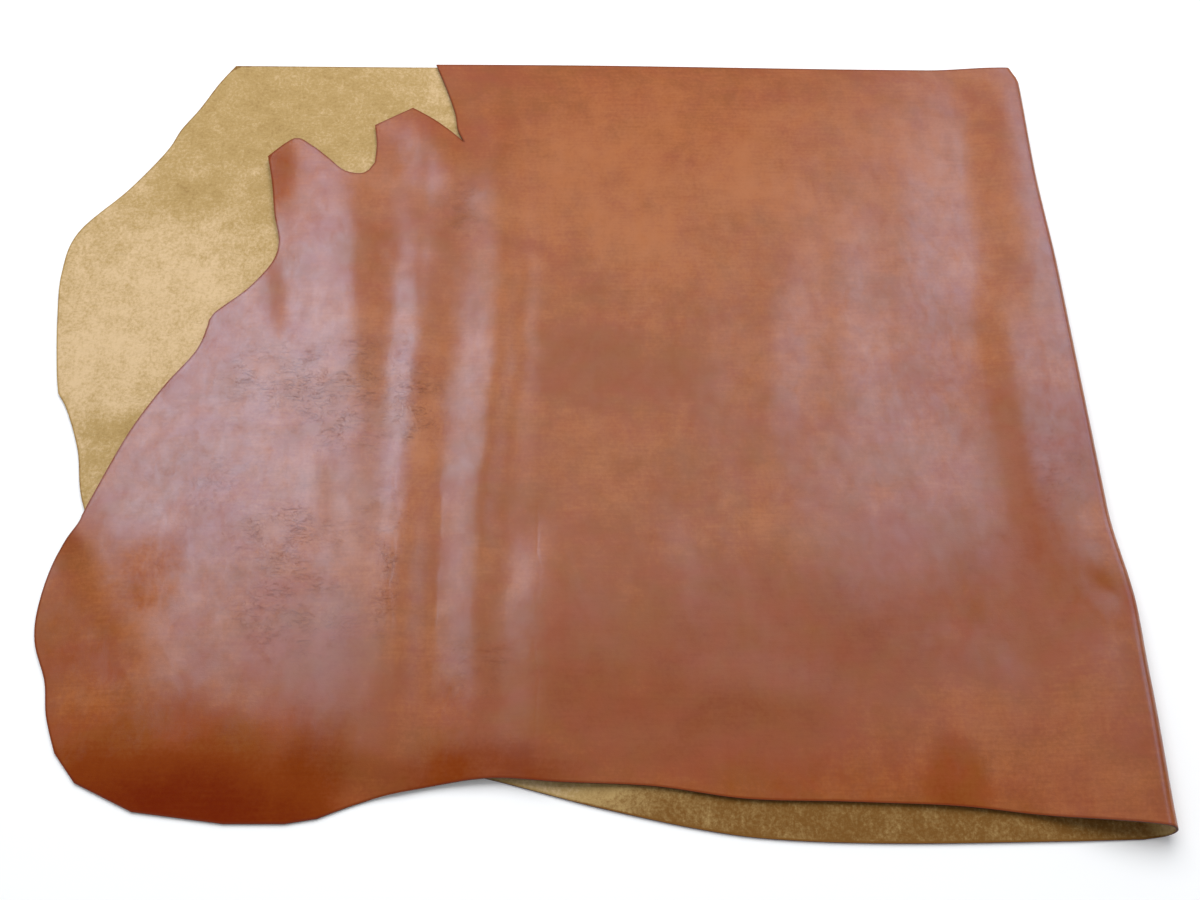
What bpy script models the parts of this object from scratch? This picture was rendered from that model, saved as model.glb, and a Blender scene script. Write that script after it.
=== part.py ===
"""A side of stout chestnut leather, folded once across its length with its flesh faces together.

Metres, +Z up. The butt half lies flat on the ground, grain down, and the neck half comes back over it,
grain up. The fold is at +X and the straight cut along the backbone at +Y. The origin is on the ground,
below the middle of the folded hide.

The hide is drawn flat and then folded. On the drawing, reach is the distance from the fold line, below
zero on the butt half and above it on the neck half, and drop is the distance from the backbone line
towards the belly.
"""

import math
from collections import namedtuple

import bpy
from mathutils import Matrix, Vector
from mathutils.geometry import delaunay_2d_cdt

THICKNESS = 0.0025
LAYER_GAP = 0.002
REST_HEIGHT = 2 * THICKNESS + LAYER_GAP  # the upper grain, where the halves lie together

# The fold is a half round that is low at the backbone and stands higher at the belly. The upper half
# runs level from its top for CROWN_LEVEL, and then comes down over CROWN_FALL. Within BEND of the fold
# line the drawing is wrapped round it.
BEND = 0.035
CROWN_AT_BACKBONE = 0.013
CROWN_AT_BELLY = 0.028
CROWN_LEVEL = 0.006
Fall = namedtuple("Fall", "drop length")
CROWN_FALL = (
    Fall(0.000, 0.100),
    Fall(0.120, 0.076),
    Fall(0.300, 0.090),
    Fall(0.560, 0.140),
    Fall(1.044, 0.140),
)
WIDTH = 1.044

# How far the outside of the fold stands back from the fold line. It steps out at the dent.
Fold = namedtuple("Fold", "drop set_back")
FOLD_LINE = (
    Fold(0.012, 0.0210),
    Fold(0.040, 0.0125),
    Fold(0.190, 0.0145),
    Fold(0.360, 0.0105),
    Fold(0.680, 0.0100),
    Fold(0.800, 0.0000),
    Fold(0.880, 0.0015),
    Fold(1.044, 0.0050),
)

Edge = namedtuple("Edge", "reach drop corner")
BACKBONE_OF_BUTT = (
    Edge(-1.063, 0.002, True),
    Edge(-0.800, 0.005, False),
    Edge(-0.500, 0.007, False),
    Edge(-0.240, 0.0125, False),
    Edge(-BEND, 0.0155, True),
)
BACKBONE_OF_NECK = (
    Edge(BEND, 0.0155, True),
    Edge(0.240, 0.013, False),
    Edge(0.570, 0.006, False),
    Edge(0.792, 0.004, True),
)
# The head end: the cut behind the ear, which ends in a short slit, the two cheeks with the notch
# between them, and the throat.
NECK = (
    Edge(0.775, 0.050, False),
    Edge(0.762, 0.092, False),
    Edge(0.757, 0.121, False),
    Edge(0.748, 0.142, True),
    Edge(0.766, 0.124, False),
    Edge(0.790, 0.103, False),
    Edge(0.818, 0.082, True),
    Edge(0.866, 0.112, True),
    Edge(0.861, 0.146, False),
    Edge(0.861, 0.176, True),
    Edge(0.873, 0.194, False),
    Edge(0.898, 0.191, False),
    Edge(0.922, 0.168, False),
    Edge(0.945, 0.147, False),
    Edge(0.969, 0.135, False),
    Edge(0.999, 0.168, True),
    Edge(0.988, 0.215, False),
    Edge(0.980, 0.262, False),
    Edge(0.970, 0.305, False),
    Edge(0.976, 0.338, False),
    Edge(1.000, 0.376, False),
    Edge(1.036, 0.412, False),
    Edge(1.041, 0.428, True),
    Edge(1.050, 0.466, False),
    Edge(1.082, 0.518, False),
    Edge(1.112, 0.582, False),
    Edge(1.141, 0.674, False),
)
# The fore shank, a broad lobe that hangs past the butt half. Its lower end is trimmed in straight cuts.
SHANK_LOBE = (
    Edge(1.147, 0.697, False),
    Edge(1.166, 0.733, False),
    Edge(1.174, 0.788, False),
    Edge(1.170, 0.832, False),
    Edge(1.151, 0.876, False),
    Edge(1.142, 0.914, False),
    Edge(1.126, 0.953, True),
    Edge(1.100, 0.984, True),
    Edge(1.038, 1.013, True),
    Edge(0.945, 1.025, True),
    Edge(0.884, 1.025, True),
    Edge(0.853, 1.020, True),
    Edge(0.813, 1.005, False),
    Edge(0.771, 0.994, False),
)
BELLY_OF_NECK = (
    Edge(0.687, 0.981, False),
    Edge(0.615, 0.985, False),
    Edge(0.520, 0.988, False),
    Edge(0.425, 1.001, False),
    Edge(0.320, 1.004, False),
    Edge(0.210, 1.009, False),
    Edge(0.110, 1.021, False),
    Edge(BEND, 1.030, True),
)
BELLY_OF_BUTT = (
    Edge(-BEND, 1.040, True),
    Edge(-0.118, 1.042, False),
    Edge(-0.270, 1.044, False),
    Edge(-0.383, 1.041, False),
    Edge(-0.462, 1.032, False),
    Edge(-0.571, 1.009, False),
    Edge(-0.687, 0.979, False),
)
# The flank is covered by the lobe, and the hind shank and the rump show beyond the neck half.
FLANK_AND_RUMP = (
    Edge(-0.800, 0.955, False),
    Edge(-0.920, 0.915, False),
    Edge(-1.020, 0.850, False),
    Edge(-1.095, 0.765, False),
    Edge(-1.148, 0.670, False),
    Edge(-1.167, 0.600, False),
    Edge(-1.189, 0.547, False),
    Edge(-1.204, 0.523, True),
    Edge(-1.212, 0.490, False),
    Edge(-1.225, 0.419, False),
    Edge(-1.233, 0.350, False),
    Edge(-1.224, 0.286, False),
    Edge(-1.172, 0.217, False),
    Edge(-1.134, 0.154, False),
    Edge(-1.120, 0.116, False),
    Edge(-1.101, 0.080, False),
    Edge(-1.081, 0.034, False),
)

# Soft bends across the neck half, left from being rolled: crests and hollows in turn. Each of the four
# crests is a ridge that grows and fades between the backbone and the belly, and wanders towards the
# neck or the fold by its shift.
Bend = namedtuple("Bend", "reach height")
ROLL_BENDS = (
    Bend(0.590, 0.0000),
    Bend(0.638, 0.0022),
    Bend(0.666, 0.0006),
    Bend(0.697, 0.0044),
    Bend(0.749, 0.0006),
    Bend(0.790, 0.0048),
    Bend(0.822, 0.0008),
    Bend(0.871, 0.0046),
    Bend(0.960, 0.0012),
    Bend(1.080, 0.0000),
)
RIDGES = (0.640, 0.697, 0.790, 0.871)
Across = namedtuple("Across", "drop first second third fourth")
RIDGE_STRENGTH = (
    Across(0.110, 0.00, 0.00, 0.00, 0.00),
    Across(0.200, 0.00, 0.35, 0.00, 0.50),
    Across(0.260, 0.20, 0.45, 0.05, 0.70),
    Across(0.320, 0.50, 0.58, 0.22, 0.85),
    Across(0.400, 0.70, 0.72, 0.44, 0.95),
    Across(0.480, 0.60, 0.98, 0.76, 0.85),
    Across(0.560, 0.50, 0.82, 0.42, 0.25),
    Across(0.650, 0.35, 0.92, 0.38, 0.10),
    Across(0.740, 0.30, 0.85, 0.30, 0.12),
    Across(0.840, 0.30, 0.75, 0.16, 0.12),
    Across(1.040, 0.40, 0.15, 0.10, 0.12),
)
RIDGE_SHIFT = (
    Across(0.120, 0.012, -0.004, -0.004, 0.020),
    Across(0.250, 0.004, -0.004, -0.004, 0.018),
    Across(0.320, 0.002, -0.006, -0.004, 0.006),
    Across(0.400, 0.000, -0.007, -0.002, 0.000),
    Across(0.480, 0.000, -0.005, 0.000, -0.010),
    Across(0.560, 0.000, 0.002, 0.004, -0.020),
    Across(0.640, -0.001, 0.009, 0.003, -0.015),
    Across(0.760, -0.002, 0.012, 0.000, -0.010),
    Across(1.040, -0.003, 0.004, 0.000, -0.010),
)

# Broad low rises of the neck half, where stout leather does not lie quite flat.
Rise = namedtuple("Rise", "reach drop half_length half_width height")
RISES = (
    Rise(0.420, 0.300, 0.180, 0.240, 0.0020),
    Rise(0.270, 0.700, 0.160, 0.200, 0.0025),
    Rise(0.560, 0.780, 0.120, 0.160, 0.0025),
    Rise(0.205, 0.925, 0.110, 0.130, 0.0018),
)

# Long soft ripples of the neck half: two past the belly end of the roll bends, two at the neck's end and
# one along the fold.
Ripple = namedtuple("Ripple", "reach_1 drop_1 reach_2 drop_2 half_width height")
RIPPLES = (
    Ripple(0.632, 0.690, 0.630, 1.060, 0.105, 0.0060),
    Ripple(0.818, 0.640, 0.812, 1.000, 0.066, 0.0022),
    Ripple(0.815, 0.070, 0.737, 0.240, 0.062, 0.0032),
    Ripple(1.006, 0.120, 0.992, 0.300, 0.048, 0.0033),
    Ripple(0.092, 0.340, 0.082, 0.780, 0.036, 0.0020),
)

# The lobe lies a step higher than the sheet next to it: along and across are how far the step takes to
# rise from its reach and its drop.
Terrace = namedtuple("Terrace", "reach drop along across height")
LOBE = Terrace(reach=0.745, drop=0.500, along=0.042, across=0.340, height=0.0050)

# Past the butt half the lobe comes down to the ground, ever steeper over LOBE_FALL in from its own
# edge. It breaks downwards over LOBE_BREAK, along a line that leans by LOBE_LEAN from the corner where
# the lobe begins, and not before it has cleared the flank by LOBE_CLEAR.
LOBE_FALL = 0.140
LOBE_CURVE = 1.35
LOBE_BREAK = 0.034
LOBE_LEAN = 0.22
LOBE_CLEAR = 0.050

# A dent pressed slantwise into the crown, next to the step in the fold line.
Dent = namedtuple("Dent", "reach drop length width turn depth")
DENT = Dent(reach=0.034, drop=0.781, length=0.022, width=0.011, turn=math.radians(122), depth=0.0018)

# The drawing's grid, fine where the sheet bends and coarse where it is level. It keeps a share of its
# step clear of the outline, and round the dent a finer one takes its place.
Grid = namedtuple("Grid", "start end along across")
GRIDS = (
    Grid(-BEND, BEND, 0.005, 0.029),
    Grid(BEND, 0.165, 0.013, 0.029),
    Grid(0.165, 0.620, 0.045, 0.045),
    Grid(0.620, 0.900, 0.014, 0.040),
    Grid(0.900, 1.180, 0.023, 0.023),
)
GRID_CLEAR = 0.45
DENT_GRID = 0.009
DENT_AREA = 2 * DENT.length
EDGE_STEP = 0.020
SNAP = 1e-6
SHARP_ANGLE = math.radians(50)


def smooth_step(share):
    share = min(max(share, 0.0), 1.0)
    return share * share * (3 - 2 * share)


def smoother_step(share):
    """Like smooth_step, with no sudden bend at either end."""
    share = min(max(share, 0.0), 1.0)
    return share**3 * (10 - 15 * share + 6 * share * share)


def between_rows(rows, place):
    """The second column at a place in the first, with level tangents at every row."""
    if place <= rows[0][0]:
        return rows[0][1]
    for low, high in zip(rows, rows[1:]):
        if place <= high[0]:
            return low[1] + (high[1] - low[1]) * smooth_step((place - low[0]) / (high[0] - low[0]))
    return rows[-1][1]


def across_ridges(rows, reach, drop):
    """The rows' value at a place, blended from one ridge to the next."""
    values = [between_rows([(row.drop, row[n + 1]) for row in rows], drop) for n in range(len(RIDGES))]
    for n, (start, end) in enumerate(zip(RIDGES, RIDGES[1:])):
        if reach < end:
            share = min(max((reach - start) / (end - start), 0.0), 1.0)
            return values[n] + (values[n + 1] - values[n]) * share
    return values[-1]


def curve_point(before, start, end, after, share):
    """A point of the Catmull-Rom curve through four points, a share of the way from start to end."""
    pull_out = (end - before) / 2
    pull_in = (after - start) / 2
    cubic = 2 * start - 2 * end + pull_out + pull_in
    square = 3 * end - 3 * start - 2 * pull_out - pull_in
    return start + share * (pull_out + share * (square + share * cubic))


def places(edges):
    return [Vector((edge.reach, edge.drop)) for edge in edges]


def smooth_outline(edges, step):
    """Points about a step apart along a closed curve through the edges, with its corners kept."""
    count = len(edges)
    points = places(edges)
    outline = []
    for i, edge in enumerate(edges):
        following = (i + 1) % count
        start = points[i]
        end = points[following]
        before = start if edge.corner else points[i - 1]
        after = end if edges[following].corner else points[(i + 2) % count]
        pieces = max(1, round((end - start).length / step))
        outline += [curve_point(before, start, end, after, n / pieces) for n in range(pieces)]
    return outline


def share_along(point, start, end):
    """How far along from start to end the point lies, kept between 0 and 1."""
    run = end - start
    return min(max((point - start).dot(run) / run.length_squared, 0.0), 1.0)


def off_segment(point, start, end):
    return (point - start.lerp(end, share_along(point, start, end))).length


def off_line(point, line):
    return min(off_segment(point, start, end) for start, end in zip(line, line[1:]))


def inside(point, outline):
    """Whether a line from the point towards +X crosses the closed outline an odd number of times."""
    crossings = 0
    for start, end in zip(outline, outline[1:] + outline[:1]):
        if (start.y > point.y) != (end.y > point.y):
            crossing = start.x + (point.y - start.y) / (end.y - start.y) * (end.x - start.x)
            crossings += crossing > point.x
    return crossings % 2 == 1


def fold_crossing(start, end):
    """Outline points round the fold between two edges, on the lines of the grid there."""
    count = round(abs(end.reach - start.reach) / GRIDS[0].along)
    shares = [n / count for n in range(1, count)]
    return tuple(
        Edge(
            start.reach + (end.reach - start.reach) * share,
            start.drop + (end.drop - start.drop) * share,
            True,
        )
        for share in shares
    )


HIDE_EDGES = (
    BACKBONE_OF_BUTT
    + fold_crossing(BACKBONE_OF_BUTT[-1], BACKBONE_OF_NECK[0])
    + BACKBONE_OF_NECK
    + NECK
    + SHANK_LOBE
    + BELLY_OF_NECK
    + fold_crossing(BELLY_OF_NECK[-1], BELLY_OF_BUTT[0])
    + BELLY_OF_BUTT
    + FLANK_AND_RUMP
)
LOBE_LINE = places(NECK[-1:] + SHANK_LOBE + BELLY_OF_NECK[:1])
# The butt half as it lies under the neck half, at the same reach on the other side of the fold.
BUTT_BELOW = [
    Vector((-edge.reach, edge.drop)) for edge in BELLY_OF_BUTT + FLANK_AND_RUMP + BACKBONE_OF_BUTT
]


def crown_height(drop):
    return CROWN_AT_BACKBONE + (CROWN_AT_BELLY - CROWN_AT_BACKBONE) * drop / WIDTH


def rise_height(rise, reach, drop):
    off_centre = ((reach - rise.reach) / rise.half_length) ** 2 + ((drop - rise.drop) / rise.half_width) ** 2
    return rise.height * smoother_step(1 - off_centre)


def ripple_height(ripple, reach, drop):
    """The ripple's height at a place: it fades to both sides, and towards both of its ends."""
    place = Vector((reach, drop))
    start = Vector((ripple.reach_1, ripple.drop_1))
    end = Vector((ripple.reach_2, ripple.drop_2))
    share = share_along(place, start, end)
    beside = smooth_step(1 - off_segment(place, start, end) / ripple.half_width)
    return ripple.height * beside * smooth_step(4 * share * (1 - share))


def lobe_lift(reach, drop):
    along = smooth_step((reach - LOBE.reach) / LOBE.along)
    return LOBE.height * along * smooth_step((drop - LOBE.drop) / LOBE.across)


def from_dent(reach, drop):
    return Vector((reach - DENT.reach, drop - DENT.drop))


def dent_depth(reach, drop):
    turned = Matrix.Rotation(-DENT.turn, 2) @ from_dent(reach, drop)
    return DENT.depth * math.exp(-((turned.x / DENT.length) ** 2) - (turned.y / DENT.width) ** 2)


def lobe_droop(reach, drop):
    """The share of its height that the lobe has lost, from 0 over the butt half to 1 at its own edge."""
    place = Vector((reach, drop))
    to_edge = off_line(place, LOBE_LINE)
    if to_edge >= LOBE_FALL or inside(place, BUTT_BELOW):
        return 0.0
    corner = SHANK_LOBE[0]
    past_break = drop - corner.drop - (corner.reach - reach) * LOBE_LEAN
    past_flank = off_line(place, BUTT_BELOW + BUTT_BELOW[:1])
    clear = smooth_step(past_break / LOBE_BREAK) * smooth_step(past_flank / LOBE_CLEAR)
    return (1 - to_edge / LOBE_FALL) ** LOBE_CURVE * clear


def upper_height(reach, drop, past_crown):
    """The height of the neck half's grain, past_crown beyond the top of the fold."""
    down = max(past_crown - CROWN_LEVEL, 0.0) / between_rows(CROWN_FALL, drop)
    height = REST_HEIGHT + (crown_height(drop) - REST_HEIGHT) * smooth_step(1 - down)
    shifted = reach - across_ridges(RIDGE_SHIFT, reach, drop)
    height += between_rows(ROLL_BENDS, shifted) * across_ridges(RIDGE_STRENGTH, reach, drop)
    height += sum(rise_height(rise, reach, drop) for rise in RISES)
    height += sum(ripple_height(ripple, reach, drop) for ripple in RIPPLES)
    height += lobe_lift(reach, drop)
    height -= dent_depth(reach, drop)
    return height - (height - THICKNESS) * lobe_droop(reach, drop)


def folded(reach, drop):
    """The place of a point of the drawing on the folded grain face."""
    radius = crown_height(drop) / 2
    tangent = between_rows(FOLD_LINE, drop) + radius
    level = BEND - tangent
    y = -drop
    if reach <= -BEND:
        return Vector((reach, y, 0))
    if reach >= BEND:
        return Vector((-reach, y, upper_height(reach, drop, reach - tangent)))
    path = (reach + BEND) / (2 * BEND) * (2 * level + math.pi * radius)
    if path <= level:
        return Vector((path - BEND, y, 0))
    angle = (path - level) / radius
    if angle <= math.pi:
        sunk = dent_depth(tangent, drop) * max(0.0, -math.cos(angle))
        return Vector((radius * math.sin(angle) - tangent, y, radius * (1 - math.cos(angle)) - sunk))
    past_crown = path - level - math.pi * radius
    return Vector((-tangent - past_crown, y, upper_height(tangent + past_crown, drop, past_crown)))


def steps(start, end, step):
    count = round((end - start) / step)
    return [start + (end - start) * n / count for n in range(count)]


def grid_points(outline):
    """The drawing's inner points: the grids, where they clear the outline, and the dent's own."""
    ring = outline + outline[:1]
    points = []
    for grid in GRIDS:
        room = GRID_CLEAR * min(grid.along, grid.across)
        for reach in steps(grid.start, grid.end, grid.along):
            for drop in steps(0, WIDTH, grid.across):
                point = Vector((reach, drop))
                if from_dent(reach, drop).length < DENT_AREA or not inside(point, outline):
                    continue
                if off_line(point, ring) > room:
                    points.append(point)
    for reach in steps(0, DENT.reach + DENT_AREA, DENT_GRID):
        for drop in steps(DENT.drop - DENT_AREA, DENT.drop + DENT_AREA, DENT_GRID):
            if from_dent(reach, drop).length < DENT_AREA:
                points.append(Vector((reach, drop)))
    return points


def principled(name, colour, roughness):
    material = bpy.data.materials.new(name)
    material.use_nodes = True
    shader = material.node_tree.nodes["Principled BSDF"]
    shader.inputs["Base Color"].default_value = (*colour, 1)
    shader.inputs["Roughness"].default_value = roughness
    material.diffuse_color = (*colour, 1)
    return material


def make_hide():
    outline = smooth_outline(HIDE_EDGES, EDGE_STEP)
    points = outline + grid_points(outline)
    ring = [(n, (n + 1) % len(outline)) for n in range(len(outline))]
    drawn, _, faces, *_ = delaunay_2d_cdt(points, ring, [], 1, SNAP)
    mesh = bpy.data.meshes.new("hide")
    mesh.from_pydata([folded(point.x, point.y) for point in drawn], [], faces)
    hide = bpy.data.objects.new("hide", mesh)
    bpy.context.scene.collection.objects.link(hide)
    for name, colour, roughness in (
        ("chestnut_grain", (0.42, 0.15, 0.07), 0.38),
        ("suede_flesh", (0.60, 0.42, 0.22), 0.95),
        ("cut_edge", (0.30, 0.14, 0.07), 0.85),
    ):
        mesh.materials.append(principled(name, colour, roughness))
    wall = hide.modifiers.new("thickness", "SOLIDIFY")
    wall.thickness = THICKNESS
    wall.offset = -1
    wall.material_offset = 1
    wall.material_offset_rim = 2
    return hide


def settle(hide):
    """Takes the thickness into the mesh and stands its box on the origin."""
    evaluated = hide.evaluated_get(bpy.context.evaluated_depsgraph_get())
    mesh = bpy.data.meshes.new_from_object(evaluated)
    hide.modifiers.clear()
    hide.data = mesh
    corners = [vertex.co for vertex in mesh.vertices]
    middle = [(min(co[axis] for co in corners) + max(co[axis] for co in corners)) / 2 for axis in (0, 1)]
    mesh.transform(Matrix.Translation((-middle[0], -middle[1], 0)))
    mesh.shade_smooth()
    mesh.set_sharp_from_angle(angle=SHARP_ANGLE)


for old in list(bpy.data.objects):
    bpy.data.objects.remove(old)
settle(make_hide())
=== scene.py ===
import math
from collections import namedtuple

import bpy
import numpy as np
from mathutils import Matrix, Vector
from mathutils.geometry import delaunay_2d_cdt


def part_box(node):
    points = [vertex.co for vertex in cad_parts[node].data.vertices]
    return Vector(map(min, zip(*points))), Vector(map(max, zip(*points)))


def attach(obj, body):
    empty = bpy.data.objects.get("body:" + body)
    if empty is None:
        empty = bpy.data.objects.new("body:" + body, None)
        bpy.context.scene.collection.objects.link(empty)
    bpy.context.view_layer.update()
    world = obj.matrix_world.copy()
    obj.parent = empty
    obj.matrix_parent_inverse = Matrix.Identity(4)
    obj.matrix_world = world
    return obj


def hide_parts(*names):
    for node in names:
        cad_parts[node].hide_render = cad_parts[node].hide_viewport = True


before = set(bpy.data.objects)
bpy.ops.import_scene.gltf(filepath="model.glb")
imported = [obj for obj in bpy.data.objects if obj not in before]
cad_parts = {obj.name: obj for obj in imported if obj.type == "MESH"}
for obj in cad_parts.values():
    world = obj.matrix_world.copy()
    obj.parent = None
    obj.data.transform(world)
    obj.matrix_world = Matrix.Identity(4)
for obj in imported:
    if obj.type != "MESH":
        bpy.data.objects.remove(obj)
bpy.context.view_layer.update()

hide_high = Vector(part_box("hide")[1])


# ---------------------------------------------------------------- the hide's cut outline
# One side of cattle leather, cut straight along the backbone and left as it grew everywhere else. It is
# drawn flat first, in metres: reach is the distance from the fold line, below zero on the butt half, and
# drop is the distance from the backbone line towards the belly.

WIDTH = 1.044
BEND = 0.035  # the drawing is wrapped round the fold within this distance of the fold line

Edge = namedtuple("Edge", "reach drop corner")
BACKBONE_OF_BUTT = (
    Edge(-1.063, 0.002, True),
    Edge(-0.800, 0.005, False),
    Edge(-0.500, 0.007, False),
    Edge(-0.240, 0.0125, False),
    Edge(-BEND, 0.0155, True),
)
BACKBONE_OF_NECK = (
    Edge(BEND, 0.0155, True),
    Edge(0.240, 0.013, False),
    Edge(0.570, 0.006, False),
    Edge(0.792, 0.004, True),
)
# The head end: the cut behind the ear, which ends in a short slit, the two cheeks with the notch
# between them, and the throat.
NECK = (
    Edge(0.775, 0.050, False),
    Edge(0.762, 0.092, False),
    Edge(0.757, 0.121, False),
    Edge(0.748, 0.142, True),
    Edge(0.766, 0.124, False),
    Edge(0.790, 0.103, False),
    Edge(0.818, 0.082, True),
    Edge(0.866, 0.112, True),
    Edge(0.861, 0.146, False),
    Edge(0.861, 0.176, True),
    Edge(0.873, 0.194, False),
    Edge(0.898, 0.191, False),
    Edge(0.922, 0.168, False),
    Edge(0.945, 0.147, False),
    Edge(0.969, 0.135, False),
    Edge(0.999, 0.168, True),
    Edge(0.988, 0.215, False),
    Edge(0.980, 0.262, False),
    Edge(0.970, 0.305, False),
    Edge(0.976, 0.338, False),
    Edge(1.000, 0.376, False),
    Edge(1.036, 0.412, False),
    Edge(1.041, 0.428, True),
    Edge(1.050, 0.466, False),
    Edge(1.082, 0.518, False),
    Edge(1.112, 0.582, False),
    Edge(1.141, 0.674, False),
)
# The fore shank, a broad lobe that hangs past the butt half. Its lower end is trimmed in straight cuts.
SHANK_LOBE = (
    Edge(1.147, 0.697, False),
    Edge(1.166, 0.733, False),
    Edge(1.174, 0.788, False),
    Edge(1.170, 0.832, False),
    Edge(1.151, 0.876, False),
    Edge(1.142, 0.914, False),
    Edge(1.126, 0.953, True),
    Edge(1.100, 0.984, True),
    Edge(1.038, 1.013, True),
    Edge(0.945, 1.025, True),
    Edge(0.884, 1.025, True),
    Edge(0.853, 1.020, True),
    Edge(0.813, 1.005, False),
    Edge(0.771, 0.994, False),
)
BELLY_OF_NECK = (
    Edge(0.687, 0.981, False),
    Edge(0.615, 0.985, False),
    Edge(0.520, 0.988, False),
    Edge(0.425, 1.001, False),
    Edge(0.320, 1.004, False),
    Edge(0.210, 1.009, False),
    Edge(0.110, 1.021, False),
    Edge(BEND, 1.030, True),
)
BELLY_OF_BUTT = (
    Edge(-BEND, 1.040, True),
    Edge(-0.118, 1.042, False),
    Edge(-0.270, 1.044, False),
    Edge(-0.383, 1.041, False),
    Edge(-0.462, 1.032, False),
    Edge(-0.571, 1.009, False),
    Edge(-0.687, 0.979, False),
)
# The flank is covered by the lobe, and the hind shank and the rump show beyond the neck half.
FLANK_AND_RUMP = (
    Edge(-0.800, 0.955, False),
    Edge(-0.920, 0.915, False),
    Edge(-1.020, 0.850, False),
    Edge(-1.095, 0.765, False),
    Edge(-1.148, 0.670, False),
    Edge(-1.167, 0.600, False),
    Edge(-1.189, 0.547, False),
    Edge(-1.204, 0.523, True),
    Edge(-1.212, 0.490, False),
    Edge(-1.225, 0.419, False),
    Edge(-1.233, 0.350, False),
    Edge(-1.224, 0.286, False),
    Edge(-1.172, 0.217, False),
    Edge(-1.134, 0.154, False),
    Edge(-1.120, 0.116, False),
    Edge(-1.101, 0.080, False),
    Edge(-1.081, 0.034, False),
)
HIDE_EDGES = (
    BACKBONE_OF_BUTT + BACKBONE_OF_NECK + NECK + SHANK_LOBE + BELLY_OF_NECK + BELLY_OF_BUTT + FLANK_AND_RUMP
)
EDGE_STEP = 0.007
FOLD_STEP = 0.0025  # where the outline goes round the fold


def smooth_outline(edges, step, fold_step):
    """Points along a closed Catmull-Rom curve through the edges, with its corners kept."""
    points = np.array([(edge.reach, edge.drop) for edge in edges])
    outline = []
    for i, edge in enumerate(edges):
        following = (i + 1) % len(edges)
        start, end = points[i], points[following]
        before = start if edge.corner else points[i - 1]
        after = end if edges[following].corner else points[(i + 2) % len(edges)]
        round_fold = edge.reach * edges[following].reach < 0
        pieces = max(1, round(math.dist(start, end) / (fold_step if round_fold else step)))
        share = np.arange(pieces)[:, None] / pieces
        pull_out, pull_in = (end - before) / 2, (after - start) / 2
        cubic = 2 * start - 2 * end + pull_out + pull_in
        square = 3 * end - 3 * start - 2 * pull_out - pull_in
        outline.append(start + share * (pull_out + share * (square + share * cubic)))
    return np.concatenate(outline)


outline = smooth_outline(HIDE_EDGES, EDGE_STEP, FOLD_STEP)


# ---------------------------------------------------------------- the folded sheet
# Stout vegetable-tanned leather, folded once with the flesh faces together. It will not lie quite flat:
# the fold stays round, old roll bends run across the neck half, and the shank lobe lies a step higher.

THICKNESS = 0.0025
LAYER_GAP = 0.002
REST_HEIGHT = 2 * THICKNESS + LAYER_GAP  # the upper grain, where the halves lie together

# The fold is a half round that is low at the backbone and stands higher at the belly. The upper half
# runs level from its top for CROWN_LEVEL, and then comes down over CROWN_FALL.
CROWN_AT_BACKBONE = 0.013
CROWN_AT_BELLY = 0.028
CROWN_LEVEL = 0.006
Fall = namedtuple("Fall", "drop length")
CROWN_FALL = (
    Fall(0.000, 0.100),
    Fall(0.120, 0.076),
    Fall(0.300, 0.090),
    Fall(0.560, 0.140),
    Fall(1.044, 0.140),
)

# How far the outside of the fold stands back from the fold line. It steps out at the dent.
Fold = namedtuple("Fold", "drop set_back")
FOLD_LINE = (
    Fold(0.012, 0.0210),
    Fold(0.040, 0.0125),
    Fold(0.190, 0.0145),
    Fold(0.360, 0.0105),
    Fold(0.680, 0.0100),
    Fold(0.800, 0.0000),
    Fold(0.880, 0.0015),
    Fold(1.044, 0.0050),
)

# Soft bends across the neck half, left from being rolled: crests and hollows in turn. Each of the four
# crests is a ridge that grows and fades between the backbone and the belly, and wanders towards the
# neck or the fold by its shift.
Bend = namedtuple("Bend", "reach height")
ROLL_BENDS = (
    Bend(0.590, 0.0000),
    Bend(0.638, 0.0022),
    Bend(0.666, 0.0006),
    Bend(0.697, 0.0044),
    Bend(0.749, 0.0006),
    Bend(0.790, 0.0048),
    Bend(0.822, 0.0008),
    Bend(0.871, 0.0046),
    Bend(0.960, 0.0012),
    Bend(1.080, 0.0000),
)
RIDGES = (0.640, 0.697, 0.790, 0.871)
Across = namedtuple("Across", "drop first second third fourth")
RIDGE_STRENGTH = (
    Across(0.110, 0.00, 0.00, 0.00, 0.00),
    Across(0.200, 0.00, 0.35, 0.00, 0.50),
    Across(0.260, 0.20, 0.45, 0.05, 0.70),
    Across(0.320, 0.50, 0.58, 0.22, 0.85),
    Across(0.400, 0.70, 0.72, 0.44, 0.95),
    Across(0.480, 0.60, 0.98, 0.76, 0.85),
    Across(0.560, 0.50, 0.82, 0.42, 0.25),
    Across(0.650, 0.35, 0.92, 0.38, 0.10),
    Across(0.740, 0.30, 0.85, 0.30, 0.12),
    Across(0.840, 0.30, 0.75, 0.16, 0.12),
    Across(1.040, 0.40, 0.15, 0.10, 0.12),
)
RIDGE_SHIFT = (
    Across(0.120, 0.012, -0.004, -0.004, 0.020),
    Across(0.250, 0.004, -0.004, -0.004, 0.018),
    Across(0.320, 0.002, -0.006, -0.004, 0.006),
    Across(0.400, 0.000, -0.007, -0.002, 0.000),
    Across(0.480, 0.000, -0.005, 0.000, -0.010),
    Across(0.560, 0.000, 0.002, 0.004, -0.020),
    Across(0.640, -0.001, 0.009, 0.003, -0.015),
    Across(0.760, -0.002, 0.012, 0.000, -0.010),
    Across(1.040, -0.003, 0.004, 0.000, -0.010),
)

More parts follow.
